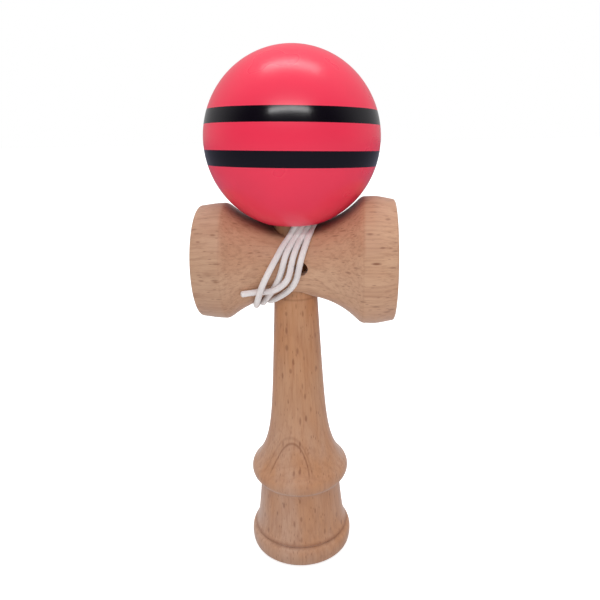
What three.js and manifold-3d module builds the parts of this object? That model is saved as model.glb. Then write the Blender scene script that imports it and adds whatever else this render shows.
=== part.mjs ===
// A kendama: a turned handle with a spike, a cross-piece with two cups, a painted ball that rests
// over the spike, and a string wound round the waist of the cross-piece.
// Millimetres, +Z up. The handle's axis is the Z axis and its rim stands on Z = 0.
// The cross-piece lies along X, with the small cup at -X and the big cup at +X. The front is -Y.

import * as THREE from 'three';
import { mergeVertices } from 'three/addons/utils/BufferGeometryUtils.js';
import { ParametricGeometry } from 'three/addons/geometries/ParametricGeometry.js';
import Module from 'manifold-3d';

const wasm = await Module();
wasm.setup();

// Driving dimensions

const SEGMENTS = 40; // facets round every turned piece, a multiple of 4
const GAP = 0.3; // clearance between touching pieces

const BASE_CUP = { radius: 16.6, depth: 8.5 };
const RIM_FLAT = 18.2; // outer radius of the flat ring that the handle stands on
const FOOT = { radius: 20.35, height: 8.5 }; // the rounded band round the base cup
const BODY = { radius: 17.75, taper: 0.1, flare: 1.2, fade: 2.2, bottom: 9, top: 26.5 };
const BEAD = { centre: 35, inset: 14.85, radius: 4.4, from: -71.5, to: 52 }; // the raised knuckle
const NECK = { radius: 7.95, taper: 0.052, flare: 6.15, fade: 8, bottom: 38.4, top: 107 };
const SPIKE = { radius: 7.2, shoulder: 133, noseStart: 148, noseRadius: 6.3, tip: 168, tipRadius: 2.6 };

const CROSS = { height: 119.95, waist: 12.4 };
// An end's reach, its cup's mouth and depth, its rim, the edge and bulge of the band behind the rim, and its
// flare from the waist: the radius grows with square * x ** 2 + fourth * x ** 4
const SMALL_END = {
  reach: 34, cup: 18.1, depth: 9.5, rim: 20.15, edge: 23.85, bulge: 0.15, square: 0.01285, fourth: 4.15e-6,
};
const BIG_END = {
  reach: 35.5, cup: 19.7, depth: 11, rim: 21.7, edge: 23.85, bulge: 0.45, square: 0.01344, fourth: 8.47e-6,
};
const STRING_HOLE = { x: 2.95, radius: 2.35 }; // drilled right through the waist, front to back
const KNOT_POCKET = { radius: 3.1, bottom: 10.2 }; // bottom is its distance behind the handle's axis

const BALL = { radius: 30, height: 162.4 };
const BORE = { radius: 10.3, rim: 10.9, bevel: 0.9, end: 174, cone: 5 };
const TOP_HOLE = 2.2; // radius of the string hole at the top of the ball

const STRING = 1.1; // radius of the braided string
const WRAP_LIFT = 1.6; // from the wood to the middle of the wrap's thickness
const WRAP_HALF = 1.2; // half of the wrap's thickness on the waist
const WRAP_HALF_IN_BORE = 0.8; // half of its thickness between the spike and the ball
const WRAP_SIDE = 1.1; // how far the wrap reaches past the middle of its outer strands
const SPIKE_SIDE = 8.75; // distance of the strands in the bore from the handle's axis

// Shared helpers

const radians = THREE.MathUtils.degToRad;

function arc(centreR, centreZ, radius, from, to, steps) {
  const points = [];
  for (let i = 0; i <= steps; i += 1) {
    const angle = radians(from + ((to - from) * i) / steps);
    points.push(new THREE.Vector2(centreR + radius * Math.cos(angle), centreZ + radius * Math.sin(angle)));
  }
  return points;
}

// A hollow's arc from the axis out to its edge. Its mouth is at z = 0 and its floor at z = depth.
function hollow(edge, depth, steps) {
  const radius = (edge * edge + depth * depth) / (2 * depth);
  const end = THREE.MathUtils.radToDeg(Math.asin((radius - depth) / radius));
  return arc(0, depth - radius, radius, 90, end, steps);
}

function through(points, steps) {
  return new THREE.SplineCurve(points.map(([r, z]) => new THREE.Vector2(r, z))).getPoints(steps);
}

function along(shape, heights) {
  return heights.map((z) => new THREE.Vector2(shape(z), z));
}

function joined(geometry) {
  geometry.deleteAttribute('normal');
  geometry.deleteAttribute('uv');
  return mergeVertices(geometry, 1e-4);
}

function toSolid(geometry) {
  const merged = joined(geometry);
  return new wasm.Manifold(new wasm.Mesh({
    numProp: 3,
    vertProperties: new Float32Array(merged.attributes.position.array),
    triVerts: new Uint32Array(merged.index.array),
  }));
}

function toGeometry(solid) {
  const mesh = solid.getMesh();
  const geometry = new THREE.BufferGeometry();
  geometry.setAttribute('position', new THREE.BufferAttribute(new Float32Array(mesh.vertProperties), 3));
  geometry.setIndex(new THREE.BufferAttribute(new Uint32Array(mesh.triVerts), 1));
  geometry.computeVertexNormals();
  return geometry;
}

function piece(name, geometry, material) {
  const mesh = new THREE.Mesh(geometry, material);
  mesh.name = name;
  return mesh;
}

// A round bar along Y, centred on the string hole
function barAlongY(radius, from, to, sides) {
  const bar = new THREE.CylinderGeometry(radius, radius, to - from, sides);
  return bar.translate(STRING_HOLE.x, (from + to) / 2, CROSS.height);
}

// Materials

const beech = () => new THREE.MeshStandardMaterial({ color: 0xbe9272, roughness: 0.6, metalness: 0 });
const paint = () => new THREE.MeshStandardMaterial({ color: 0xe53c53, roughness: 0.3, metalness: 0 });
const cotton = () => new THREE.MeshStandardMaterial({ color: 0xe4dedb, roughness: 0.9, metalness: 0 });

// Handle and spike, one turned piece

const bodyRadius = (z) => (
  BODY.radius - BODY.taper * (z - BODY.bottom) + BODY.flare * Math.exp(-(z - BODY.bottom) / BODY.fade)
);
const neckRadius = (z) => (
  NECK.radius + NECK.taper * (NECK.top - z) + NECK.flare * Math.exp(-(z - NECK.bottom) / NECK.fade)
);
const spikeSlope = (neckRadius(NECK.top) - SPIKE.radius) / (SPIKE.shoulder - NECK.top);

function handleSpike() {
  const foot = through([[RIM_FLAT, 0], [19.75, 1], [20.25, 2.7], [FOOT.radius, 5], [19.95, 6.9],
    [18.95, 8.2]], 8);
  const nose = new THREE.QuadraticBezierCurve(
    new THREE.Vector2(SPIKE.noseRadius, SPIKE.noseStart),
    new THREE.Vector2(5.4, 162),
    new THREE.Vector2(SPIKE.tipRadius, SPIKE.tip - 1.1),
  ).getPoints(4);
  const profile = [
    ...hollow(BASE_CUP.radius, BASE_CUP.depth, 6),
    ...foot,
    new THREE.Vector2(18.5, FOOT.height),
    ...along(bodyRadius, [BODY.bottom, 10.2, 12, 15, 20, BODY.top]),
    ...arc(BEAD.inset, BEAD.centre, BEAD.radius, BEAD.from, BEAD.to, 8),
    ...along(neckRadius, [39.5, 41.5, 44, 47, 51, 57, 66, 80, 95, NECK.top]),
    new THREE.Vector2(SPIKE.radius, SPIKE.shoulder),
    ...nose,
    new THREE.Vector2(1.5, SPIKE.tip - 0.25),
    new THREE.Vector2(0, SPIKE.tip),
  ];
  return new THREE.LatheGeometry(profile, SEGMENTS).rotateX(Math.PI / 2);
}

// Cross-piece: a turned waist between two cups, with the spike's hole and the string's hole

function crossRadius(x) {
  const end = x < 0 ? SMALL_END : BIG_END;
  return CROSS.waist + end.square * x ** 2 + end.fourth * x ** 4;
}

// One end's outline, from the middle of its cup, over the rim, to the waist. Heights are along the axis.
function endProfile(end, side) {
  const rimRadius = (end.rim - end.cup) / 2;
  const rimFoot = end.reach - rimRadius;
  const edgeRadius = crossRadius(side * end.edge);
  const cup = hollow(end.cup, end.depth, 6).map((p) => new THREE.Vector2(p.x, rimFoot - p.y));
  const rim = arc(end.cup + rimRadius, rimFoot, rimRadius, 180, 0, 6);
  const flare = [22.5, 20, 17, 13.5, 9.5, 5].map((x) => new THREE.Vector2(crossRadius(side * x), x));
  const outline = [
    ...cup,
    ...rim.slice(1),
    new THREE.Vector2((end.rim + edgeRadius) / 2 + end.bulge, (rimFoot + end.edge) / 2),
    new THREE.Vector2(edgeRadius - 0.15, end.edge + 1.4),
    new THREE.Vector2(edgeRadius, end.edge + 0.3),
    new THREE.Vector2(crossRadius(side * (end.edge - 0.7)), end.edge - 0.7),
    ...flare,
  ];
  return outline.map((p) => new THREE.Vector2(p.x, side * p.y));
}

function crossCups() {
  const waist = new THREE.Vector2(CROSS.waist, 0);
  const profile = [...endProfile(SMALL_END, -1), waist, ...endProfile(BIG_END, 1).reverse()];
  const turned = new THREE.LatheGeometry(profile, SEGMENTS)
    .rotateZ(-Math.PI / 2).translate(0, 0, CROSS.height);
  const [low, high] = [100, 140]; // the spike's hole is cut from well below to well above the waist
  const holeRadius = (z) => SPIKE.radius + GAP + spikeSlope * (SPIKE.shoulder - z);
  const spikeHole = new THREE.CylinderGeometry(holeRadius(high), holeRadius(low), high - low, SEGMENTS)
    .rotateX(Math.PI / 2).translate(0, 0, (low + high) / 2);
  const stringHole = barAlongY(STRING_HOLE.radius, -20, 20, 16);
  const pocket = barAlongY(KNOT_POCKET.radius, 2, KNOT_POCKET.bottom, 16);
  return toGeometry([spikeHole, stringHole, pocket].reduce(
    (solid, cut) => solid.subtract(toSolid(cut)),
    toSolid(turned),
  ));
}

// Ball, with a bevelled bore from below and the string hole at its top

function ball() {
  const angleAt = (r) => THREE.MathUtils.radToDeg(Math.acos(r / BALL.radius));
  const outside = [
    ...arc(0, 0, BALL.radius, -angleAt(BORE.rim), 0, 9),
    ...arc(0, 0, BALL.radius, 0, angleAt(TOP_HOLE), 11).slice(1),
  ];
  const boreEnd = BORE.end - BALL.height;
  const profile = [
    ...outside,
    new THREE.Vector2(TOP_HOLE, boreEnd + BORE.cone),
    new THREE.Vector2(BORE.radius, boreEnd),
    new THREE.Vector2(BORE.radius, outside[0].y + BORE.bevel),
    outside[0].clone(),
  ];
  return new THREE.LatheGeometry(profile, SEGMENTS).rotateX(Math.PI / 2).translate(0, 0, BALL.height);
}

// String: its knot in the cross-piece, the stretch in the string hole, the wrap and the loose end

function onWaist(x, angle, lift) {
  const radius = crossRadius(x) + lift;
  return new THREE.Vector3(
    x,
    -radius * Math.cos(radians(angle)),
    CROSS.height + radius * Math.sin(radians(angle)),
  );
}

function besideSpike(azimuth, height) {
  return new THREE.Vector3(
    SPIKE_SIDE * Math.sin(radians(azimuth)),
    -SPIKE_SIDE * Math.cos(radians(azimuth)),
    height,
  );
}

// Where the wrap lies on the waist: the angle round the cross-piece, from its front over its top, and
// the places along X of the strands at the wrap's two edges
const WRAP_ON_WAIST = [
  [38, -2.0, 4.8],
  [15, -5.0, 3.1],
  [-7, -8.5, 1.8],
  [-28, -11.3, 0.3],
  [-48, -13.0, -2.7],
  [-66, -13.9, -7.5],
  [-90, -14.2, -10.3],
  [-114, -13.2, -9.3],
  [-138, -10.5, -5.5],
  [-160, -7.5, -1.5],
  [-182, -4.0, 2.9],
  [-204, -1.0, 4.5],
  [-222, 1.0, 6.0],
];
// Where it passes the spike, in the mouth of the ball: azimuth and height of each edge's strand
const WRAP_IN_BORE = [
  [168, 133.0, 138, 132.6],
  [130, 138.6, 112, 134.7],
  [90, 142.5, 90, 135.9],
  [50, 138.6, 68, 134.7],
  [12, 133.0, 42, 132.6],
];

function wrap() {
  const stations = [
    ...WRAP_ON_WAIST.map(([angle, left, right]) => ({
      left: onWaist(left, angle, WRAP_LIFT),
      right: onWaist(right, angle, WRAP_LIFT),
      out: new THREE.Vector3(0, -Math.cos(radians(angle)), Math.sin(radians(angle))),
      half: WRAP_HALF,
    })),
    ...WRAP_IN_BORE.map(([leftAzimuth, leftHeight, rightAzimuth, rightHeight]) => {
      const middle = radians((leftAzimuth + rightAzimuth) / 2);
      return {
        left: besideSpike(leftAzimuth, leftHeight),
        right: besideSpike(rightAzimuth, rightHeight),
        out: new THREE.Vector3(Math.sin(middle), -Math.cos(middle), 0),
        half: WRAP_HALF_IN_BORE,
      };
    }),
  ];
  const loop = (points) => new THREE.CatmullRomCurve3(points, true);
  const lefts = loop(stations.map((s) => s.left));
  const rights = loop(stations.map((s) => s.right));
  const outs = loop(stations.map((s) => s.out));
  const halves = loop(stations.map((s) => new THREE.Vector3(s.half, 0, 0)));
  const squared = (value) => Math.sign(value) * Math.abs(value) ** 0.5;
  const section = (u, v, target) => {
    const [left, right, out] = [lefts, rights, outs].map((curve) => curve.getPoint(u % 1));
    const across = left.clone().sub(right);
    const reach = across.length() / 2 + WRAP_SIDE;
    const turn = 2 * Math.PI * ((v % 1) + 1 / 16);
    target.copy(left.add(right).multiplyScalar(0.5));
    target.addScaledVector(across.normalize(), reach * squared(Math.cos(turn)));
    target.addScaledVector(out.normalize(), halves.getPoint(u % 1).x * squared(Math.sin(turn)));
  };
  return joined(new ParametricGeometry(section, 2 * stations.length, 8));
}

function tube(points, steps) {
  const outline = new THREE.Shape(arc(0, 0, STRING, 0, 315, 7)); // eight sides
  const extrudePath = new THREE.CatmullRomCurve3(points);
  return new THREE.ExtrudeGeometry(outline, { steps, extrudePath });
}

function stringStart() {
  const inHole = (y) => new THREE.Vector3(STRING_HOLE.x, y, CROSS.height);
  return tube([inHole(KNOT_POCKET.bottom), inHole(12.4)], 1);
}

function stringEnd() {
  return tube([onWaist(-14.2, -28, 1.8), onWaist(-15.6, -26, 1.8), onWaist(-17, -25.5, 1.9)], 3);
}

function stringKnot() {
  const [inner, outer] = [8.1, KNOT_POCKET.bottom - GAP];
  const wide = KNOT_POCKET.radius - 0.35;
  return new THREE.SphereGeometry(1, 12, 8)
    .scale(wide, (outer - inner) / 2, wide)
    .translate(STRING_HOLE.x, (inner + outer) / 2, CROSS.height);
}

const kendama = new THREE.Group();
kendama.add(
  piece('handle_spike', handleSpike(), beech()),
  piece('cross_cups', crossCups(), beech()),
  piece('ball', ball(), paint()),
  piece('string_knot', stringKnot(), cotton()),
  piece('string_start', stringStart(), cotton()),
  piece('string_wrap', wrap(), cotton()),
  piece('string_end', stringEnd(), cotton()),
);

export default kendama;
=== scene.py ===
# A kendama: a turned beech handle with a spike, a beech cross-piece with two cups, a painted wooden ball
# and a white braided string wound round the cross-piece.
# Shapes are worked out in millimetres and become metres where a mesh is made.
# +Z is up along the handle, +X is the big cup's side of the cross-piece, and -Y is the front.

import math

import bmesh
import bpy
import numpy as np
from mathutils import Matrix, Vector


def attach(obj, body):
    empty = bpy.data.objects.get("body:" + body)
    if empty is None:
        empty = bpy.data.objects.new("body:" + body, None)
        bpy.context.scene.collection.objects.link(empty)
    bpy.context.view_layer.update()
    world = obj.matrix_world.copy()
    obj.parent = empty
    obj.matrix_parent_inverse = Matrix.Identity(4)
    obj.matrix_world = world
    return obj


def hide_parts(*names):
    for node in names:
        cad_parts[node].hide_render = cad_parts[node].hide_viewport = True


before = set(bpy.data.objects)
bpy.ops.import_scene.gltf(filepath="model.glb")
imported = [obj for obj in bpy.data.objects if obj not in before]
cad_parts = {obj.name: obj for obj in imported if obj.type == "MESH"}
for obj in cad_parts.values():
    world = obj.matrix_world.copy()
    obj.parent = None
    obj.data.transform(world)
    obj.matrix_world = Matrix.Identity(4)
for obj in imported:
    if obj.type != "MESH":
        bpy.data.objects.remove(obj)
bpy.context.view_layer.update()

MM = 0.001

# Driving dimensions, the same as the CAD part's

GAP = 0.3  # clearance between touching pieces

BASE_CUP = {"radius": 16.6, "depth": 8.5}
RIM_FLAT = 18.2  # outer radius of the flat ring that the handle stands on
FOOT = {"radius": 20.35, "height": 8.5, "crease": 18.5}  # the band round the base cup and the crease above it
BODY = {"radius": 17.75, "taper": 0.1, "flare": 1.2, "fade": 2.2, "bottom": 9.0, "top": 26.5}
BEAD = {"centre": 35.0, "inset": 14.85, "radius": 4.4, "to": 52.0}  # the raised knuckle
NECK = {"radius": 7.95, "taper": 0.052, "flare": 6.15, "fade": 8.0, "bottom": 38.4, "top": 107.0}
SPIKE = {"radius": 7.2, "shoulder": 133.0, "nose_start": 148.0, "nose_radius": 6.3, "tip": 168.0,
         "tip_radius": 2.6}
SPIKE_SLOPE = (NECK["radius"] - SPIKE["radius"]) / (SPIKE["shoulder"] - NECK["top"])  # below its shoulder

CROSS = {"height": 119.95, "waist": 12.4}
# An end's reach, its cup's mouth and depth, its rim, the edge and bulge of the band behind the rim, and its
# flare from the waist: the radius grows with square * x ** 2 + fourth * x ** 4
SMALL_END = {"reach": 34.0, "cup": 18.1, "depth": 9.5, "rim": 20.15, "edge": 23.85, "bulge": 0.15,
             "square": 0.01285, "fourth": 4.15e-6}
BIG_END = {"reach": 35.5, "cup": 19.7, "depth": 11.0, "rim": 21.7, "edge": 23.85, "bulge": 0.45,
           "square": 0.01344, "fourth": 8.47e-6}
STRING_HOLE = {"x": 2.95, "radius": 2.35}  # drilled right through the waist, front to back
KNOT_POCKET = {"radius": 3.1, "bottom": 10.2}  # bottom is its distance behind the handle's axis

BALL = {"radius": 30.0, "height": 162.4}
BORE = {"radius": 10.3, "rim": 10.9, "bevel": 0.9, "end": 174.0, "cone": 5.0}
TOP_HOLE = 2.2  # radius of the string hole at the top of the ball

STRING = 1.1  # radius of the braided string
SPIKE_SIDE = 8.75  # distance of the strands in the bore from the handle's axis

# Shapes finer than the CAD part's

TURNED_STEPS = 192  # facets round every turned piece
# The bead's worn lower corner: the curve that leads up to it from the body, and its angle on the bead
BEAD_CORNER = {"start": (16.05, 28.6), "control": (16.2, 30.75), "angle": -48.0}
SPIKE_SWELL = 0.08  # how much the spike bulges between its shoulder and its nose
# The sanded edge behind a cup's band: how far it reaches each way along X, how far it starts below the sharp
# edge, and how far its curve is drawn out beyond that edge
CUP_EDGE = {"round": 1.5, "drop": 0.1, "pull": 0.1}


# Camera: its place and lens in millimetres, its turns in degrees

CAMERA = {"place": (16.36, -204.07, 171.76), "down": 18.13, "left": 4.17, "roll": -1.29, "lens": 34.78}


def make_camera():
    data = bpy.data.cameras.new("camera")
    data.sensor_width = 36.0
    data.lens = CAMERA["lens"]
    data.clip_start = 0.01
    camera = bpy.data.objects.new("camera", data)
    bpy.context.scene.collection.objects.link(camera)
    turn = (
        Matrix.Rotation(math.radians(CAMERA["left"]), 4, "Z")
        @ Matrix.Rotation(math.radians(90.0 - CAMERA["down"]), 4, "X")
        @ Matrix.Rotation(math.radians(CAMERA["roll"]), 4, "Z")
    )
    camera.matrix_world = Matrix.Translation(Vector(CAMERA["place"]) * MM) @ turn
    bpy.context.scene.camera = camera


make_camera()


# Mesh helpers

def arc(centre_r, centre_z, radius, start, end, steps):
    angles = np.radians(np.linspace(start, end, steps + 1))
    return [(centre_r + radius * math.cos(a), centre_z + radius * math.sin(a)) for a in angles]


def hollow(edge, depth, steps):
    """A hollow's arc from the axis out to its edge. Its mouth is at z = 0 and its floor at z = depth."""
    radius = (edge * edge + depth * depth) / (2 * depth)
    end = math.degrees(math.asin((radius - depth) / radius))
    return arc(0, depth - radius, radius, 90, end, steps)


def through(points, steps):
    """A smooth line through points of any dimension, as a Catmull-Rom spline."""
    points = [np.array(p, float) for p in points]
    padded = [2 * points[0] - points[1], *points, 2 * points[-1] - points[-2]]
    line = []
    for a, b, c, d in zip(padded, padded[1:], padded[2:], padded[3:]):
        for t in np.arange(steps) / steps:
            line.append(0.5 * (2 * b + (c - a) * t + (2 * a - 5 * b + 4 * c - d) * t ** 2
                               + (3 * b - a - 3 * c + d) * t ** 3))
    return [*line, points[-1]]


def bezier(start, control, end, steps):
    start, control, end = (np.array(p) for p in (start, control, end))
    return [tuple((1 - t) ** 2 * start + 2 * t * (1 - t) * control + t * t * end)
            for t in np.linspace(0, 1, steps + 1)]


def new_object(name, mesh, body):
    piece = bpy.data.objects.new(name, mesh)
    bpy.context.scene.collection.objects.link(piece)
    if body:
        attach(piece, body)
    return piece


def mesh_of(name, points, faces):
    mesh = bpy.data.meshes.new(name)
    mesh.from_pydata([tuple(float(c) * MM for c in p) for p in points], [], faces)
    mesh.update()
    return mesh


def turned(name, outline, place):
    """A closed mesh turned from an outline of (radius, height) points that starts and ends on the axis,
    or closes on itself. place(x, y, height) puts a point of it in the row frame."""
    points, rings = [], []
    for radius, height in outline:
        if radius < 1e-6:
            rings.append([len(points)])
            points.append(place(0.0, 0.0, height))
            continue
        rings.append(list(range(len(points), len(points) + TURNED_STEPS)))
        for k in range(TURNED_STEPS):
            angle = 2 * math.pi * k / TURNED_STEPS
            points.append(place(radius * math.cos(angle), radius * math.sin(angle), height))
    pairs = list(zip(rings, rings[1:]))
    if len(rings[0]) > 1:
        pairs.append((rings[-1], rings[0]))
    faces = []
    for low, high in pairs:
        for k in range(TURNED_STEPS):
            after = (k + 1) % TURNED_STEPS
            if len(low) == 1:
                faces.append((low[0], high[after], high[k]))
            elif len(high) == 1:
                faces.append((low[k], low[after], high[0]))
            else:
                faces.append((low[k], low[after], high[after], high[k]))
    mesh = mesh_of(name, points, faces)
    work = bmesh.new()
    work.from_mesh(mesh)
    bmesh.ops.recalc_face_normals(work, faces=work.faces)
    work.to_mesh(mesh)
    work.free()
    return mesh


def upright(x, y, height):
    return (x, y, height)


def along_x(x, y, height):
    return (height, y, CROSS["height"] - x)


def smooth(mesh, sharpest=35.0):
    """Smooth shading, with an edge kept sharp where its faces meet at more than that many degrees."""
    work = bmesh.new()
    work.from_mesh(mesh)
    for face in work.faces:
        face.smooth = True
    for edge in work.edges:
        edge.smooth = edge.is_manifold and edge.calc_face_angle(0.0) < math.radians(sharpest)
    work.to_mesh(mesh)
    work.free()


def cut(piece, tools):
    """Takes the tools' shapes out of the piece."""
    for tool in tools:
        step = piece.modifiers.new("cut", "BOOLEAN")
        step.operation = "DIFFERENCE"
        step.solver = "EXACT"
        step.object = tool
    bpy.context.view_layer.update()
    whole = bpy.data.meshes.new_from_object(piece.evaluated_get(bpy.context.evaluated_depsgraph_get()))
    piece.modifiers.clear()
    piece.data = whole
    for tool in tools:
        bpy.data.objects.remove(tool)


# The string's way round the cross-piece

def waist_radius(x):
    square = np.where(x < 0, SMALL_END["square"], BIG_END["square"])
    fourth = np.where(x < 0, SMALL_END["fourth"], BIG_END["fourth"])
    return CROSS["waist"] + square * x ** 2 + fourth * x ** 4


def waist_slope(x):
    square = np.where(x < 0, SMALL_END["square"], BIG_END["square"])
    fourth = np.where(x < 0, SMALL_END["fourth"], BIG_END["fourth"])
    return 2 * square * x + 4 * fourth * x ** 3


def on_waist(x, angle, lift):
    radius = float(waist_radius(np.float64(x))) + lift
    turn = math.radians(angle)
    return (x, -radius * math.cos(turn), CROSS["height"] + radius * math.sin(turn))


def beside_spike(azimuth, height):
    turn = math.radians(azimuth)
    return (SPIKE_SIDE * math.sin(turn), -SPIKE_SIDE * math.cos(turn), height)


LIES = 1.15  # lift of a strand that lies on the wood
CROSSES = 3.2  # lift of a strand that crosses another one

# From the knot out of the string hole's back mouth: x, y and the height above the cross-piece's axis
FIRST = [(2.95, 10.1, -1.2), (2.95, 11.0, -1.2), (2.96, 13.2, -0.6), (3.0, 14.8, 1.0), (3.15, 15.4, 3.2),
         (3.5, 15.0, 5.1)]
# Places on the waist: x, the angle round the waist from the front over the top, and the lift above the wood
START_UP = [(4.3, -214, 1.7), (5.2, -228, 1.3)]
# Each turn passes the spike inside the bore, runs down the front and comes up again at the back. The bore's
# entry has its height beside the spike, and its azimuths from the front at the bore's back and front.
TURNS = [
    {
        "bore": {"height": 135.9, "back": 138, "front": 46},
        "front": [(5.3, 46, LIES), (4.6, 36, LIES), (3.2, 17, LIES), (2.2, 0, LIES), (1.7, -12, LIES),
                  (0.3, -26, LIES), (-2.3, -41, LIES), (-5.6, -56, LIES), (-8.6, -71, LIES),
                  (-10.2, -90, LIES)],
        "back": [(-9.6, -114, LIES), (-7.4, -138, LIES), (-3.9, -160, LIES), (-1.1, -182, LIES),
                 (1.2, -204, LIES), (2.7, -220, LIES)],
    },
    {
        "bore": {"height": 140.3, "back": 158, "front": 15},
        "front": [(1.1, 48, LIES), (-0.9, 34, LIES), (-2.4, 20, LIES), (-3.3, 3, LIES), (-4.6, -13, LIES),
                  (-7.0, -32, LIES), (-9.6, -50, LIES), (-11.4, -66, LIES), (-12.3, -90, LIES)],
        "back": [(-11.6, -114, LIES), (-9.2, -138, LIES), (-5.9, -160, LIES), (-3.2, -182, LIES),
                 (-0.8, -204, LIES), (1.0, -220, LIES)],
    },
    {
        "bore": {"height": 142.5, "back": 168, "front": 4},
        "front": [(-0.9, 50, LIES), (-2.8, 38, LIES), (-4.7, 22, LIES), (-7.0, 5, 1.8), (-9.1, -9, CROSSES),
                  (-11.0, -23, CROSSES), (-12.6, -42, CROSSES), (-13.7, -60, LIES), (-14.5, -90, LIES)],
        "back": [(-13.1, -114, LIES), (-10.0, -134, CROSSES), (-5.4, -156, CROSSES), (-1.0, -178, CROSSES),
                 (2.3, -200, CROSSES), (4.3, -220, LIES)],
    },
    {
        "bore": {"height": 138.1, "back": 148, "front": 30},
        "front": [(3.2, 48, LIES), (1.7, 35, LIES), (0.4, 20, LIES), (-0.2, 9, LIES), (-0.6, -1, 1.8),
                  (-1.1, -10, CROSSES), (-3.1, -19, CROSSES), (-6.0, -26, CROSSES), (-9.5, -31, 2.0),
                  (-13.1, -30, LIES), (-15.4, -28, LIES), (-17.6, -26, LIES)],
        "back": [],
    },
]
BORE_MOUTH = 133.0  # height where a strand goes into the ball's bore and comes out of it
BORE_ARCH = 0.7  # less than 1: a strand climbs quickly in the bore and is nearly level in between
POINTS_IN_BORE = 7


def round_spike(height, back, front):
    """Over the waist and past the spike, inside the mouth of the ball."""
    points = []
    for share in np.linspace(0, 1, POINTS_IN_BORE):
        rise = (height - BORE_MOUTH) * math.sin(math.pi * share) ** BORE_ARCH
        points.append(beside_spike(back + (front - back) * share, BORE_MOUTH + rise))
    return points


def string_route():
    points = [(x, y, CROSS["height"] + rise) for x, y, rise in FIRST]
    points += [on_waist(*place) for place in START_UP]
    for turn in TURNS:
        points += round_spike(**turn["bore"])
        points += [on_waist(*place) for place in (*turn["front"], *turn["back"])]
    return points


def even(line, step):
    """The same line with points one step apart."""
    line = np.array(line)
    at = np.concatenate([[0.0], np.cumsum(np.linalg.norm(np.diff(line, axis=0), axis=1))])
    wanted = np.linspace(0, at[-1], int(round(at[-1] / step)) + 1)
    return np.stack([np.interp(wanted, at, line[:, axis]) for axis in range(3)], axis=1)


def out_of_wood(line):
    """Moves the string's points out of the waist and out of the spike."""
    x, y, z = line.T
    up = z - CROSS["height"]
    wood_radius = waist_radius(x) + STRING * np.sqrt(1 + waist_slope(x) ** 2)
    grow = np.maximum(1, wood_radius / np.hypot(y, up))
    line[:, 1] = y * grow
    line[:, 2] = CROSS["height"] + up * grow
    x, y, z = line.T
    wood_radius = SPIKE["radius"] + SPIKE_SLOPE * np.maximum(0, SPIKE["shoulder"] - z) + STRING
    grow = np.maximum(1, wood_radius / np.hypot(x, y))
    line[:, 0] = x * grow
    line[:, 1] = y * grow


def out_of_ball(line):
    """Moves the string's points out of the ball, into its bore or out to its skin, whichever is nearer."""
    x, y, z = line.T
    wide, up = np.hypot(x, y), z - BALL["height"]
    from_middle = np.hypot(wide, up)
    in_wall = wide - (BORE["radius"] - STRING)
    in_skin = BALL["radius"] + STRING - from_middle
    hit = (in_wall > 0) & (in_skin > 0)
    inwards = np.where(hit & (in_wall <= in_skin), (BORE["radius"] - STRING) / wide, 1)
    outwards = np.where(hit & (in_wall > in_skin), (BALL["radius"] + STRING) / from_middle, 1)
    line[:, 0] = x * inwards * outwards
    line[:, 1] = y * inwards * outwards
    line[:, 2] = BALL["height"] + up * outwards


RELAX_ROUNDS = 500
HELD = 8  # points in the string hole that stay where they are
PULLED_IN = 0.992  # the string is wound a little tighter than its first route
FRICTION = 0.07  # how strongly the wood holds the string where it was laid
STRAIGHTENED = 0.4  # share of the way to the middle of its neighbours that a point moves in a round
KEPT_LENGTH = {"passes": 3, "share": 0.25}  # how a round brings the steps back to their length
PRESSED = 2.0  # distance between the middles of two strands that touch: the soft braid gives a little
PUSHED_APART = 0.3  # share of an overlap by which each of two strands gives way in a round
NEIGHBOURS = 5  # points that are closer than this along the string don't push each other


def relaxed(line):
    """Lets the string settle: it keeps its length, bends softly, and lies on the wood and beside itself."""
    first = line.copy()
    step = np.linalg.norm(np.diff(line, axis=0), axis=1).mean() * PULLED_IN
    one, other = np.triu_indices(len(line), NEIGHBOURS)
    for _ in range(RELAX_ROUNDS):
        held = line[:HELD].copy()
        line += (first - line) * FRICTION
        line[1:-1] += ((line[:-2] + line[2:]) / 2 - line[1:-1]) * STRAIGHTENED
        for _ in range(KEPT_LENGTH["passes"]):
            between = line[1:] - line[:-1]
            length = np.linalg.norm(between, axis=1, keepdims=True)
            give = between / length * (length - step) * KEPT_LENGTH["share"]
            line[:-1] += give
            line[1:] -= give
            line[:HELD] = held
        between = line[other] - line[one]
        length = np.linalg.norm(between, axis=1)
        near = length < PRESSED
        give = between[near] / length[near, None] * (PRESSED - length[near, None]) * PUSHED_APART
        np.add.at(line, one[near], -give)
        np.add.at(line, other[near], give)
        out_of_wood(line)
        out_of_ball(line)
        line[:HELD] = held
    return line


def frames_along(line):
    """Two directions across the line at each of its points, carried along it without twisting."""
    ahead = np.gradient(line, axis=0)
    ahead /= np.linalg.norm(ahead, axis=1, keepdims=True)
    side = np.cross(ahead[0], (0.3, 0.2, 1.0))  # any direction will do that isn't the line's own
    sides = []
    for direction in ahead:
        side = side - direction * np.dot(side, direction)
        side /= np.linalg.norm(side)
        sides.append(side)
    sides = np.array(sides)
    return sides, np.cross(ahead, sides)


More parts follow.
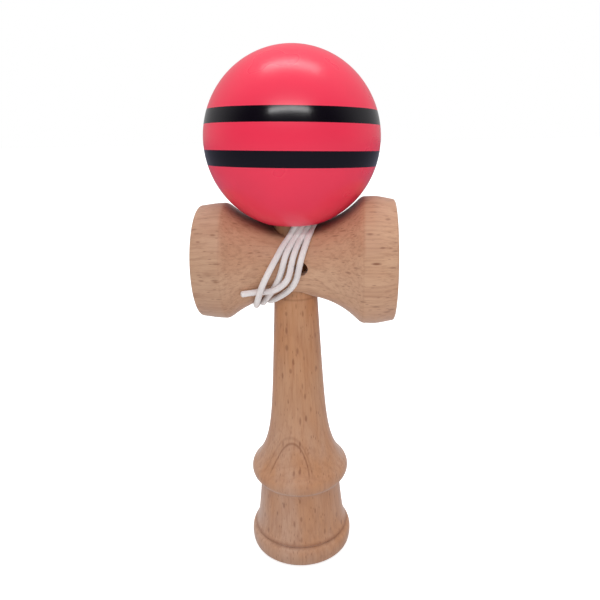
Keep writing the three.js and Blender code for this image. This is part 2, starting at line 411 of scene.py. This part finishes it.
def tube(name, line, radius_at, sides, is_loop=False):
    """A tube round a line, with flat ends unless the line is a loop. radius_at(place, angle) gives its
    radius, where place counts the rings."""
    across, up = frames_along(np.vstack([line, line[:1]]) if is_loop else line)
    rings = len(line)
    points = []
    for k in range(rings):
        for angle in 2 * math.pi * np.arange(sides) / sides:
            radius = radius_at(k, angle)
            points.append(line[k] + radius * (math.cos(angle) * across[k] + math.sin(angle) * up[k]))
    faces = []
    for k in range(rings if is_loop else rings - 1):
        low, high = k * sides, (k + 1) % rings * sides
        for s in range(sides):
            t = (s + 1) % sides
            faces.append((low + s, low + t, high + t, high + s))
    if not is_loop:
        faces.append(tuple(range(sides))[::-1])
        faces.append(tuple(range((rings - 1) * sides, rings * sides)))
    mesh = mesh_of(name, points, faces)
    smooth(mesh, 80)
    return mesh


BRAID = {"strands": 4, "pitch": 5.2, "depth": 0.07, "sides": 24, "step": 0.26}
SETTLING_STEP = 1.0  # between the points that settle
END_RINGS = 3  # rings that round off each end of the string
END_START = 0.6  # how many rings before the first one the rounding begins


def braid_radius(place, angle):
    """Strands that wind both ways round the string and bulge where they cross."""
    turn = 2 * math.pi * place * BRAID["step"] / BRAID["pitch"]
    one = math.cos(BRAID["strands"] * (angle + turn))
    other = math.cos(BRAID["strands"] * (angle - turn))
    return STRING - BRAID["depth"] * (1 - max(one, other))


def make_string():
    settled = relaxed(even(through(string_route(), 12), SETTLING_STEP))
    line = even(through(settled, 6), BRAID["step"])
    last = len(line) - 1

    def radius_at(place, angle):
        from_end = min(place, last - place) + END_START
        rounding = math.sqrt(1 - (1 - min(1.0, from_end / END_RINGS)) ** 2)
        return braid_radius(place, angle) * rounding

    return new_object("string", tube("string", line, radius_at, BRAID["sides"]), "cross_piece"), line


# Where the knot's space begins behind the handle's axis, how far its loops reach and how much they draw in
# between, how far they weave forwards and back, and the radius of its string, which is squeezed
KNOT = {"front": 8.1, "wide": 1.95, "drawn_in": 0.38, "weave": 0.22, "string": 0.72, "points": 120,
        "sides": 12}


def make_knot():
    """A stopper knot of three loops, pressed flat between the pocket's bottom and the spike."""
    middle = (KNOT["front"] + KNOT_POCKET["bottom"] - GAP) / 2
    line = []
    for t in np.linspace(0, 2 * math.pi, KNOT["points"], endpoint=False):
        reach = KNOT["wide"] * (1 - KNOT["drawn_in"] * (1 - math.cos(3 * t)))
        line.append((STRING_HOLE["x"] + reach * math.cos(2 * t), middle + KNOT["weave"] * math.sin(3 * t),
                     CROSS["height"] + reach * math.sin(2 * t)))
    mesh = tube("string_stopper_knot", np.array(line), lambda place, angle: KNOT["string"], KNOT["sides"],
                is_loop=True)
    return new_object("string_stopper_knot", mesh, "cross_piece")


string, string_line = make_string()
knot = make_knot()
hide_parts("string_start", "string_wrap", "string_end")
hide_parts("string_knot")


# Turned outlines

def body_radius(z):
    return BODY["radius"] - BODY["taper"] * (z - BODY["bottom"]) + BODY["flare"] * math.exp(
        -(z - BODY["bottom"]) / BODY["fade"])


def neck_radius(z):
    return NECK["radius"] + NECK["taper"] * (NECK["top"] - z) + NECK["flare"] * math.exp(
        -(z - NECK["bottom"]) / NECK["fade"])


def along(shape, start, end, steps):
    return [(shape(z), z) for z in np.linspace(start, end, steps + 1)]


def handle_outline():
    foot = [(RIM_FLAT, 0.0), (19.75, 1.0), (20.25, 2.7), (FOOT["radius"], 5.0), (19.95, 6.9), (18.95, 8.2)]
    body_flare_end, neck_flare_end = 12.0, 66.0  # the flares up to these heights have closer rings
    bead = arc(BEAD["inset"], BEAD["centre"], BEAD["radius"], BEAD_CORNER["angle"], BEAD["to"], 22)
    nose = bezier((SPIKE["nose_radius"], SPIKE["nose_start"]), (5.4, 162.0),
                  (SPIKE["tip_radius"], SPIKE["tip"] - 1.1), 14)
    return [
        *hollow(BASE_CUP["radius"], BASE_CUP["depth"], 24),
        ((BASE_CUP["radius"] + RIM_FLAT) / 2, 0.0),
        *through(foot, 6),
        (FOOT["crease"], FOOT["height"]),
        *along(body_radius, BODY["bottom"], body_flare_end, 8),
        *along(body_radius, body_flare_end + 1.0, BODY["top"], 8),
        *bezier(BEAD_CORNER["start"], BEAD_CORNER["control"], bead[0], 8)[:-1],
        *bead,
        *along(neck_radius, NECK["bottom"] + 0.5, neck_flare_end, 30),
        *along(neck_radius, neck_flare_end + 2.0, NECK["top"], 20),
        (SPIKE["radius"], SPIKE["shoulder"]),
        ((SPIKE["radius"] + SPIKE["nose_radius"]) / 2 + SPIKE_SWELL,
         (SPIKE["shoulder"] + SPIKE["nose_start"]) / 2),
        *nose,
        (1.5, SPIKE["tip"] - 0.25),  # the rounded tip
        (0.0, SPIKE["tip"]),
    ]


def make_handle():
    mesh = turned("handle", handle_outline(), upright)
    smooth(mesh)
    piece = new_object("handle", mesh, "handle")
    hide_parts("handle_spike")
    return piece


FIRST_RING = 0.9  # how far from the waist's middle the first ring of each flare lies


def end_outline(end, side):
    """One end of the cross-piece, from the middle of its cup, over its rim, to the waist."""
    def flare_radius(x):
        return float(waist_radius(np.float64(side * x)))

    rim_radius = (end["rim"] - end["cup"]) / 2
    rim_foot = end["reach"] - rim_radius
    edge, edge_radius = end["edge"], flare_radius(end["edge"])
    cup = [(r, rim_foot - z) for r, z in hollow(end["cup"], end["depth"], 24)]
    rim = arc(end["cup"] + rim_radius, rim_foot, rim_radius, 180, 0, 12)
    band = [rim[-1], ((end["rim"] + edge_radius) / 2 + end["bulge"], (rim_foot + edge) / 2),
            (edge_radius - CUP_EDGE["drop"], edge + CUP_EDGE["round"])]
    inner = (flare_radius(edge - CUP_EDGE["round"]), edge - CUP_EDGE["round"])
    flare = [(flare_radius(x), x) for x in np.linspace(edge - CUP_EDGE["round"], FIRST_RING, 26)]
    edge_round = bezier(band[-1], (edge_radius + CUP_EDGE["pull"], edge + CUP_EDGE["pull"]), inner, 8)
    outline = [*cup, *rim[1:-1], *[tuple(p) for p in through(band, 6)][:-1], *edge_round[:-1], *flare]
    return [(r, side * x) for r, x in outline]


def rod(name, low_radius, high_radius, place):
    """A plain tapered rod of unit length, used only to cut with."""
    outline = [(0.0, 0.0), (low_radius, 0.0), (high_radius, 1.0), (0.0, 1.0)]
    return new_object(name, turned(name, outline, place), None)


def make_cross():
    outline = [*end_outline(SMALL_END, -1), (CROSS["waist"], 0.0), *end_outline(BIG_END, 1)[::-1]]
    piece = new_object("cross_piece", turned("cross_piece", outline, along_x), None)
    below, above = 100.0, 140.0  # heights well clear of the waist

    def hole_radius(z):
        return SPIKE["radius"] + GAP + SPIKE_SLOPE * (SPIKE["shoulder"] - z)

    def in_z(x, y, share):
        return (x, y, below + (above - below) * share)

    def in_y(start, end):
        return lambda x, y, share: (STRING_HOLE["x"] + x, start + (end - start) * share,
                                    CROSS["height"] + y)

    hole, pocket = STRING_HOLE["radius"], KNOT_POCKET["radius"]
    cut(piece, [  # the string's hole goes right through, and its pocket starts inside the spike's hole
        rod("spike_cutter", hole_radius(below), hole_radius(above), in_z),
        rod("string_cutter", hole, hole, in_y(-20.0, 20.0)),
        rod("pocket_cutter", pocket, pocket, in_y(2.0, KNOT_POCKET["bottom"])),
    ])
    smooth(piece.data)
    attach(piece, "cross_piece")
    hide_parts("cross_cups")
    return piece


# Ball: PAINT, STRIPE and BARE WOOD faces, with the stripes' edges cut into the mesh

STRIPES = [(4.6, 9.25), (-8.6, -3.6)]  # heights above the ball's middle
STRIPE_TILT = Vector((0.0247, 0.0579, 1.0)).normalized()  # the stripes' axis: the ball sits a little turned
PAINT_ENDS = -27.2  # height from the ball's middle, above which the bore is bare wood
SKIN = 0.2  # what lies less than this below the ball's surface belongs to its skin
PAINT, STRIPE, BARE_WOOD = range(3)  # the ball's materials


def ball_outline():
    radius, bore_end = BALL["radius"], BORE["end"] - BALL["height"]
    low = -math.degrees(math.acos(BORE["rim"] / radius))
    high = math.degrees(math.acos(TOP_HOLE / radius))
    below = arc(0, 0, radius, low, 0, 48)
    return [
        *below,
        *arc(0, 0, radius, 0, high, 60)[1:],
        (TOP_HOLE, (radius + bore_end + BORE["cone"]) / 2),
        (TOP_HOLE, bore_end + BORE["cone"]),
        (BORE["radius"], bore_end),
        (BORE["radius"], bore_end / 2),
        (BORE["radius"], below[0][1] + BORE["bevel"]),
    ]


def make_ball():
    middle = Vector((0.0, 0.0, BALL["height"]))
    mesh = turned("ball", ball_outline(), lambda x, y, z: (x, y, z + BALL["height"]))
    work = bmesh.new()
    work.from_mesh(mesh)
    for level in (level for stripe in STRIPES for level in stripe):
        bmesh.ops.bisect_plane(
            work,
            geom=[*work.verts, *work.edges, *work.faces],
            dist=1e-7,
            plane_co=(middle + STRIPE_TILT * level) * MM,
            plane_no=STRIPE_TILT,
        )
    for corner in work.verts:
        reach = corner.co - middle * MM
        if reach.length > (BALL["radius"] - SKIN) * MM:
            corner.co = middle * MM + reach.normalized() * BALL["radius"] * MM
    for face in work.faces:
        centre = face.calc_center_median() / MM - middle
        on_skin = centre.length > BALL["radius"] - SKIN
        if on_skin and any(low < centre.dot(STRIPE_TILT) < high for low, high in STRIPES):
            face.material_index = STRIPE
        elif not on_skin and centre.z > PAINT_ENDS:
            face.material_index = BARE_WOOD
        else:
            face.material_index = PAINT
    work.to_mesh(mesh)
    work.free()
    smooth(mesh)
    piece = new_object("painted_ball", mesh, "ball")
    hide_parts("ball")
    return piece


handle = make_handle()
cross = make_cross()
ball = make_ball()


# Shader helpers

def add(tree, kind, inputs=None, **settings):
    """A shader node with its settings, and its inputs set to a value or linked to another node's output."""
    made = tree.nodes.new("ShaderNode" + kind)
    for name, value in settings.items():
        setattr(made, name, value)
    for name, value in (inputs or {}).items():
        if isinstance(value, bpy.types.NodeSocket):
            tree.links.new(value, made.inputs[name])
        else:
            made.inputs[name].default_value = value
    return made


def maths(tree, operation, *values):
    return add(tree, "Math", dict(enumerate(values)), operation=operation).outputs[0]


def times(tree, one, other):
    return maths(tree, "MULTIPLY", one, other)


def distance(tree, one, other):
    """The length of a step whose two parts stand square to each other."""
    squares = maths(tree, "ADD", maths(tree, "POWER", one, 2.0), maths(tree, "POWER", other, 2.0))
    return maths(tree, "SQRT", squares)


def vector_maths(tree, operation, *values):
    return add(tree, "VectorMath", dict(enumerate(values)), operation=operation).outputs[0]


def ramp(tree, value, low, high, out_low=0.0, out_high=1.0):
    return add(tree, "MapRange", {"Value": value, "From Min": low, "From Max": high, "To Min": out_low,
                                  "To Max": out_high}, interpolation_type="SMOOTHSTEP").outputs["Result"]


def blended(tree, share, one, other, mode="MIX"):
    made = add(tree, "Mix", data_type="RGBA", blend_type=mode)
    for name, value in (("Factor_Float", share), ("A_Color", one), ("B_Color", other)):
        socket = next(s for s in made.inputs if s.identifier == name)
        if isinstance(value, bpy.types.NodeSocket):
            tree.links.new(value, socket)
        else:
            socket.default_value = value
    return next(s for s in made.outputs if s.identifier == "Result_Color")


def noise(tree, vector, scale, detail=3.0, roughness=0.5):
    return add(tree, "TexNoise", {"Vector": vector, "Scale": scale, "Detail": detail,
                                  "Roughness": roughness}).outputs["Fac"]


def srgb(red, green, blue):
    """A colour given as it looks on screen, 0 to 255, as linear light."""
    shares = [c / 255 for c in (red, green, blue)]
    return (*(c / 12.92 if c <= 0.04045 else ((c + 0.055) / 1.055) ** 2.4 for c in shares), 1.0)


def new_material(name):
    material = bpy.data.materials.new(name)
    material.use_nodes = True
    tree = material.node_tree
    return material, tree, tree.nodes["Principled BSDF"]


def object_place(tree):
    return add(tree, "TexCoord").outputs["Object"]


def set_finish(tree, shader, height, deep, strength, **values):
    """A bump from the height, so many millimetres deep, and the shader's inputs that are plain numbers."""
    bump = add(tree, "Bump", {"Height": height, "Distance": deep * MM, "Strength": strength})
    tree.links.new(bump.outputs["Normal"], shader.inputs["Normal"])
    for name, value in values.items():
        shader.inputs[name.replace("_", " ")].default_value = value


# Beech

# How fast a pattern changes per millimetre: across the grain, across it the other way, and along it
WANDER = (0.035, 0.035, 0.012)
BROAD = (0.075, 0.075, 0.02)
FIBRE = (1.1, 1.1, 0.045)
FINE = (4.5, 4.5, 0.22)
LATHE = (0.0, 0.0, 2.6)
RINGS = {"wander": 9.0, "width": 2.9}  # how far the growth rings wander, and the width of one
DEEPER = (0.56, 0.42, 0.34)  # the dark tone is multiplied with this in flecks, painted shade lines and single rings


def grain_space(tree, grain, middle):
    """Coordinates in millimetres from the piece's axis, with Z along the grain: together and one by one."""
    scaled = vector_maths(tree, "MULTIPLY", object_place(tree), (1 / MM,) * 3)
    moved = vector_maths(tree, "SUBTRACT", scaled, middle)
    parts = add(tree, "SeparateXYZ", {0: moved})
    x, y, z = (parts.outputs[k] for k in range(3))
    order = (y, z, x) if grain == "X" else (x, y, z)
    return add(tree, "CombineXYZ", dict(enumerate(order))).outputs[0], order


def pattern(tree, space, scale, detail, roughness=0.5):
    return noise(tree, vector_maths(tree, "MULTIPLY", space, scale), 1.0, detail, roughness)


def flecks(tree, vector, size, share, seed, thin):
    """Short lens-shaped flecks, one in some of the cells of a stretched cell pattern."""
    moved = vector_maths(tree, "ADD", vector, (seed,) * 3)
    scaled = vector_maths(tree, "MULTIPLY", moved, tuple(1 / s for s in size))
    cells = add(tree, "TexVoronoi", {"Vector": scaled, "Scale": 1.0, "Randomness": 0.9})
    chosen = add(tree, "SeparateXYZ", {0: cells.outputs["Color"]}).outputs[0]
    strength = ramp(tree, chosen, 1 - share, 1 - share + 0.25)
    return times(tree, ramp(tree, cells.outputs["Distance"], thin, thin * 0.35), strength)


def growth_rings(tree, space, parts, pith, lean):
    """Where a place lies in the log: the way round the pith and out from it in millimetres, how much the
    rings wander there, and how much of a ring's dark late wood it has."""
    u, v, w = parts
    wander = pattern(tree, space, WANDER, 2.0)
    u_from = maths(tree, "ADD", maths(tree, "ADD", u, times(tree, w, lean[0])), -pith[0])
    v_from = maths(tree, "ADD", maths(tree, "ADD", v, times(tree, w, lean[1])), -pith[1])
    out = maths(tree, "ADD", distance(tree, u_from, v_from), times(tree, wander, RINGS["wander"]))
    ring = maths(tree, "FRACT", maths(tree, "DIVIDE", out, RINGS["width"]))
    late = times(tree, ramp(tree, ring, 0.45, 0.93), ramp(tree, ring, 1.0, 0.95))
    around = times(tree, maths(tree, "ARCTAN2", v_from, u_from), math.hypot(*pith))
    return around, out, wander, late


def with_shade_lines(tree, colour, deep, along_grain, shade_lines):
    """Painted shade: dark lines round the piece in a groove, under a step or under a neighbouring piece. Each
    has a place along the grain, a width to each side and a strength."""
    for place, width, strength in shade_lines:
        off = maths(tree, "ABSOLUTE", maths(tree, "SUBTRACT", along_grain, place))
        colour = blended(tree, ramp(tree, off, width, 0.0, 0.0, strength), colour, deep)
    return colour


def with_marks(tree, colour, deep, space, marks):
    """Single flecks, each with a centre, a size and a strength."""
    for centre, size, strength in marks:
        offset = vector_maths(tree, "SUBTRACT", space, centre)
        scaled = vector_maths(tree, "MULTIPLY", offset, tuple(1 / s for s in size))
        reach = add(tree, "VectorMath", {0: scaled}, operation="LENGTH").outputs["Value"]
        colour = blended(tree, ramp(tree, reach, 1.0, 0.25, 0.0, strength), colour, deep)
    return colour


def with_loops(tree, colour, deep, parts, wander, loops):
    """Arched growth rings. Each has a middle azimuth, the height of its feet, half its turn, how tall it is
    and its strength."""
    u, v, w = parts
    azimuth = maths(tree, "ADD", maths(tree, "ARCTAN2", u, times(tree, v, -1.0)),
                    times(tree, maths(tree, "SUBTRACT", wander, 0.5), 0.25))
    for middle, foot, half_turn, tall, strength in loops:
        off_middle = maths(tree, "SUBTRACT", azimuth, math.radians(middle))
        across = maths(tree, "DIVIDE", off_middle, math.radians(half_turn))
        up = maths(tree, "DIVIDE", maths(tree, "SUBTRACT", w, foot), tall)
        off = maths(tree, "ABSOLUTE", maths(tree, "SUBTRACT", distance(tree, across, up), 1.0))
        line = times(tree, ramp(tree, off, 0.07, 0.0, 0.0, strength), ramp(tree, w, foot - 1.0, foot + 3.0))
        colour = blended(tree, line, colour, deep)
    return colour


def with_stains_and_shade(tree, colour, space, stains_and_shade):
    """Round patches of colour, real stains and painted shade alike, each with a centre, the radius inside
    which it is full, the radius at which it ends, its colour and its strength."""
    for centre, near, far, patch_tone, strength in stains_and_shade:
        reach = add(tree, "VectorMath", {0: space, 1: centre}, operation="DISTANCE").outputs["Value"]
        colour = blended(tree, ramp(tree, reach, far, near, 0.0, strength), colour, patch_tone)
    return colour


def wood(name, grain, middle, tones, tints, pith, lean, growth, streaks, freckles, shade_lines, marks, loops=(),
         stains_and_shade=()):
    """Beech: growth rings round the pith, fibres, ray flecks, turning marks and a satin oil finish."""
    material, tree, shader = new_material(name)
    space, parts = grain_space(tree, grain, middle)
    along_grain = parts[2]
    pale, warm, dark = (srgb(*tone) for tone in tones)
    deep = (*(c * share for c, share in zip(dark, DEEPER)), 1.0)

    around, out, wander, late = growth_rings(tree, space, parts, pith, lean)
    rays = add(tree, "CombineXYZ", {0: around, 1: out, 2: along_grain}).outputs[0]
    fibre = pattern(tree, space, FIBRE, 4.0, 0.6)
    fine = pattern(tree, space, FINE, 3.0, 0.6)
    broad = pattern(tree, space, BROAD, 3.0, 0.55)
    small = flecks(tree, rays, (0.6, 3.0, 3.2), 0.55, seed=3.7, thin=0.28)
    large = flecks(tree, rays, (freckles["width"], 5.0, 6.0), freckles["share"], seed=11.3, thin=0.3)

    # colour, from the broad tones to the single marks
    colour = blended(tree, ramp(tree, broad, 0.35, 0.66), pale, warm)
    layers = [
        (ramp(tree, fibre, 0.42, 0.72), streaks, dark),
        (ramp(tree, fine, 0.45, 0.75), streaks / 2, dark),
        (late, growth, dark),
        (small, 0.5, deep),
        (large, 0.5, deep),
    ]
    for where, strength, tone in layers:
        colour = blended(tree, times(tree, where, strength), colour, tone)
    low_tint, high_tint, start, end = tints
    tint = blended(tree, ramp(tree, along_grain, start, end), low_tint, high_tint)
    colour = blended(tree, 1.0, colour, tint, "MULTIPLY")
    # painted shade lines in grooves, under steps and under the cross-piece
    colour = with_shade_lines(tree, colour, deep, along_grain, shade_lines)
    colour = with_marks(tree, colour, deep, space, marks)
    colour = with_loops(tree, colour, deep, parts, wander, loops)
    # round patches: the ball's rubbed-off paint with its painted contact shadow, and painted shade in the
    # cups' floors
    colour = with_stains_and_shade(tree, colour, space, stains_and_shade)
    tree.links.new(colour, shader.inputs["Base Color"])

    # finish, rougher along the fibres and in the flecks
    worn = maths(tree, "ADD", times(tree, fibre, 0.16), times(tree, small, 0.12))
    tree.links.new(maths(tree, "ADD", worn, 0.44), shader.inputs["Roughness"])

    # relief: fine grain and turning marks stand up, and the flecks are sunk in
    lathe_marks = times(tree, pattern(tree, space, LATHE, 2.0), 0.25)
    raised = maths(tree, "ADD", times(tree, fine, 0.5), lathe_marks)
    height = maths(tree, "SUBTRACT", raised, times(tree, maths(tree, "MAXIMUM", small, large), 0.7))
    set_finish(tree, shader, height, 0.05, 0.55, Specular_IOR_Level=0.45, Sheen_Weight=0.42,
               Sheen_Roughness=0.35)
    return material


# Lacquer and cotton

def paint(name, colour, roughness, spread, specular):
    """Sprayed lacquer on turned wood: an even colour, faint orange peel and a few dull patches."""
    material, tree, shader = new_material(name)
    place = object_place(tree)
    patches = noise(tree, place, 45.0, 3.0)
    peel = noise(tree, place, 900.0, 2.0)
    darker = (*(c * 0.96 for c in colour[:3]), 1.0)
    dull = ramp(tree, patches, 0.3, 0.75, roughness, roughness + spread)
    tree.links.new(blended(tree, ramp(tree, patches, 0.35, 0.7), colour, darker), shader.inputs["Base Color"])
    tree.links.new(dull, shader.inputs["Roughness"])
    set_finish(tree, shader, peel, 0.01, 0.2, Specular_IOR_Level=specular)
    return material


def cotton(name):
    """White braided cord: matt and soft, with fine yarn fibres."""
    material, tree, shader = new_material(name)
    place = object_place(tree)
    yarn = noise(tree, place, 2600.0, 3.0, 0.6)
    soft = noise(tree, place, 120.0, 2.0)
    colour = blended(tree, ramp(tree, soft, 0.35, 0.7), srgb(231, 226, 225), srgb(221, 214, 214))
    colour = blended(tree, ramp(tree, yarn, 0.5, 0.75, 0.0, 0.25), colour, srgb(196, 186, 184))
    tree.links.new(colour, shader.inputs["Base Color"])
    set_finish(tree, shader, yarn, 0.1, 0.6, Roughness=0.85, Specular_IOR_Level=0.25, Sheen_Weight=0.25,
               Sheen_Roughness=0.5)
    return material


# The materials of this kendama

# Pale, warm and dark, as they look on screen
HANDLE_TONES = ((196, 153, 124), (192, 137, 97), (160, 106, 76))
CROSS_TONES = ((207, 163, 134), (198, 150, 121), (168, 120, 94))
# What the colour is multiplied with at a low place along the grain and at a high one, and where it changes
HANDLE_TINTS = ((0.96, 1.0, 1.08, 1.0), (0.97, 0.90, 0.78, 1.0), 30.0, 75.0)
CROSS_TINTS = ((0.86, 0.89, 0.88, 1.0), (0.98, 1.0, 0.97, 1.0), -30.0, -16.0)
# Painted shade in the foot's crease, on the bead's worn lower corner and on the handle just under the
# cross-piece
HANDLE_SHADE_LINES = [(8.9, 1.5, 0.5), (31.4, 1.2, 0.3), (107.2, 0.7, 0.35)]
# Faint painted shade along the edges behind the cups' bands
CROSS_SHADE_LINES = [(BIG_END["edge"] + 0.2, 0.5, 0.1), (-SMALL_END["edge"] - 0.2, 0.5, 0.1)]
# Growth rings that come to the surface on the bead
KNUCKLE_LOOPS = [(-10, 38, 28, 13, 0.5), (-13, 38, 35, 15.2, 0.22)]

# Height, azimuth round the handle from the front, width across, length along, strength
HANDLE_FLECKS = [(89, -21, 0.9, 1.8, 0.5), (88, 5, 0.7, 1.8, 0.45), (80, -12, 0.8, 1.5, 0.45),
                 (60, 7, 0.6, 2.4, 0.5), (51, 5, 0.5, 1.6, 0.5), (102, -22, 0.7, 1.2, 0.45),
                 (28, 3, 0.6, 1.8, 0.45), (23, 24, 0.5, 1.5, 0.45), (18, -5, 0.6, 2.0, 0.5),
                 (10.5, -5, 0.5, 1.2, 0.4), (13, 36, 0.6, 1.8, 0.45), (74, 14, 0.4, 1.8, 0.4),
                 (21, -30, 0.5, 1.6, 0.4)]
# Place along X, angle up from the front round the cross-piece's axis, width across, length along, strength
CROSS_FLECKS = [(28, 11, 0.55, 2.2, 0.9), (-26, 38, 0.5, 1.5, 0.6), (-31, 31, 0.5, 1.1, 0.55),
                (-11, 20, 0.4, 1.3, 0.5), (-14, 24, 0.4, 1.2, 0.5), (-25, -6, 0.5, 1.4, 0.55),
                (-30, -5, 0.5, 1.3, 0.5), (19, 1, 0.5, 1.6, 0.55), (32, 50, 0.5, 1.3, 0.55),
                (26, 36, 0.5, 1.6, 0.6), (30, 24, 0.5, 1.3, 0.55), (15, 16, 0.4, 1.4, 0.5)]
# The ball's pink paint has rubbed off on the saddle it drops into, and painted contact shadow under the ball
# darkens the same patch; the cups' floors carry painted shade for their hollows
CUP_FLOOR_SHADE = srgb(136, 94, 70)
CROSS_STAINS_AND_SHADE = [
    ((0.0, BALL["height"] - CROSS["height"], 0.0), BALL["radius"] + 0.4, BALL["radius"] + 4.4,
     srgb(118, 38, 38), 0.78),
    # painted shade in the hollow of each cup
    ((0.0, 0.0, BIG_END["reach"] - BIG_END["depth"]), 1.0, 16.5, CUP_FLOOR_SHADE, 0.4),
    ((0.0, 0.0, SMALL_END["depth"] - SMALL_END["reach"]), 1.0, 15.0, CUP_FLOOR_SHADE, 0.4),
]


def handle_marks():
    """The handle's flecks as centres and sizes in its grain's coordinates."""
    marks = []
    for height, azimuth, wide, long, strength in HANDLE_FLECKS:
        reach = neck_radius(height) if height > BEAD["centre"] else body_radius(height)
        turn = math.radians(azimuth)
        centre = (reach * math.sin(turn), -reach * math.cos(turn), height)
        marks.append((centre, (wide, 3.0, long), strength))
    return marks


def cross_marks():
    """The cross-piece's flecks, in the same way."""
    marks = []
    for x, angle, wide, long, strength in CROSS_FLECKS:
        end = BIG_END if x > 0 else SMALL_END
        reach = end["rim"] + 0.8 if abs(x) > end["edge"] else float(waist_radius(np.float64(x)))
        turn = math.radians(angle)
        marks.append(((-reach * math.cos(turn), reach * math.sin(turn), x), (2.5, wide, long), strength))
    return marks


handle_wood = wood(
    "handle_beech", "Z", (0.0, 0.0, 0.0), HANDLE_TONES, HANDLE_TINTS, pith=(9.0, 60.0), lean=(0.02, 0.03),
    growth=0.14, streaks=0.42, freckles={"width": 1.9, "share": 0.4}, shade_lines=HANDLE_SHADE_LINES,
    marks=handle_marks(), loops=KNUCKLE_LOOPS,
)
cross_wood = wood(
    "cross_beech", "X", (0.0, 0.0, CROSS["height"]), CROSS_TONES, CROSS_TINTS, pith=(44.0, -14.0),
    lean=(0.03, -0.02), growth=0.12, streaks=0.62, freckles={"width": 1.2, "share": 0.45}, shade_lines=CROSS_SHADE_LINES,
    marks=cross_marks(), stains_and_shade=CROSS_STAINS_AND_SHADE,
)
pink = paint("pink_lacquer", srgb(239, 50, 81), 0.27, 0.04, 0.5)
black = paint("black_lacquer", srgb(9, 4, 14), 0.15, 0.05, 0.4)
handle.data.materials.append(handle_wood)
cross.data.materials.append(cross_wood)
for finish in (pink, black, cross_wood):
    ball.data.materials.append(finish)
braid_cotton = cotton("string_cotton")
for piece in (string, knot):
    piece.data.materials.append(braid_cotton)


# Floor, lights and world

# How bright the studio is as a light, where the picture shows it as 1: at the sides, overhead, and what its
# back adds
AMBIENT = {"side": 0.23, "top": 1.03, "behind": 0.3}
MIRRORED = {"front": 0.05, "back": 0.5}  # how bright it is in a reflection
# The floor's two tones where the camera sees it, what it also shines with there so that it stays white, its
# tone for the light that it throws back, and its tone in a reflection
FLOOR_SHOWN = ((0.79, 0.79, 0.79, 1.0), (0.81, 0.81, 0.81, 1.0))
FLOOR_GLOW = 0.6
FLOOR_AS_LIGHT = (0.82, 0.82, 0.82, 1.0)
FLOOR_MIRRORED = (0.23, 0.23, 0.3, 1.0)
FLOOR_HALF = 3.0  # metres
FLOOR_DROP = 0.0002  # metres, so that it doesn't touch the handle's rim
LIT_PLACE = (0.0, 0.0, 0.16)  # where both lights point, close to the ball's middle


def seen(tree, ray):
    """1 for rays of that kind and 0 for the others."""
    return add(tree, "LightPath").outputs[f"Is {ray} Ray"]


def make_floor():
    """A white floor that stays pure white in the picture, and lights the object less than it shows."""
    mesh = bpy.data.meshes.new("floor")
    corners = [(-1, -1), (1, -1), (1, 1), (-1, 1)]
    mesh.from_pydata([(x * FLOOR_HALF, y * FLOOR_HALF, 0) for x, y in corners], [], [(0, 1, 2, 3)])
    floor = new_object("floor", mesh, None)
    floor.location.z = -FLOOR_DROP
    material, tree, shader = new_material("floor_white")
    shown = blended(tree, noise(tree, object_place(tree), 3.0, 2.0), *FLOOR_SHOWN)
    lit = blended(tree, seen(tree, "Glossy"), FLOOR_AS_LIGHT, FLOOR_MIRRORED)
    tree.links.new(blended(tree, seen(tree, "Camera"), lit, shown), shader.inputs["Base Color"])
    tree.links.new(times(tree, seen(tree, "Camera"), FLOOR_GLOW), shader.inputs["Emission Strength"])
    shader.inputs["Emission Color"].default_value = (1.0, 1.0, 1.0, 1.0)
    shader.inputs["Roughness"].default_value = 0.9
    shader.inputs["Specular IOR Level"].default_value = 0.1
    floor.data.materials.append(material)


def make_light(name, size, place, watts):
    data = bpy.data.lights.new(name, "AREA")
    data.shape = "RECTANGLE"
    data.size, data.size_y = size
    data.energy = watts
    light = bpy.data.objects.new(name, data)
    light.location = place
    light.rotation_euler = (Vector(LIT_PLACE) - Vector(place)).to_track_quat("-Z", "Y").to_euler()
    bpy.context.scene.collection.objects.link(light)


def make_world():
    """A white backdrop, with softer light round the object than it shows and a dark room in front of it."""
    world = bpy.data.worlds.new("studio")
    world.use_nodes = True
    tree = world.node_tree
    sky = tree.nodes["Background"]
    sky.inputs["Color"].default_value = (1.0, 1.0, 1.0, 1.0)
    way = add(tree, "SeparateXYZ", {0: add(tree, "TexCoord").outputs["Generated"]}).outputs
    light = maths(tree, "ADD", ramp(tree, way[2], 0.1, 0.9, AMBIENT["side"], AMBIENT["top"]),
                  ramp(tree, way[1], -0.15, 0.5, 0.0, AMBIENT["behind"]))
    room = ramp(tree, way[1], -0.55, 0.3, MIRRORED["front"], MIRRORED["back"])
    indirect = add(tree, "Mix", {"Factor": seen(tree, "Glossy"), "A": light, "B": room}).outputs["Result"]
    shown = add(tree, "Mix", {"Factor": seen(tree, "Camera"), "A": indirect, "B": 1.0}).outputs["Result"]
    tree.links.new(shown, sky.inputs["Strength"])
    bpy.context.scene.world = world


make_floor()
make_world()
make_light("overhead", (0.6, 0.14), (0.0, 0.12, 0.87), 1.6)
make_light("window", (0.76, 0.068), (0.02, -0.70, 0.715), 2.8)
bpy.context.scene.view_settings.view_transform = "Standard"
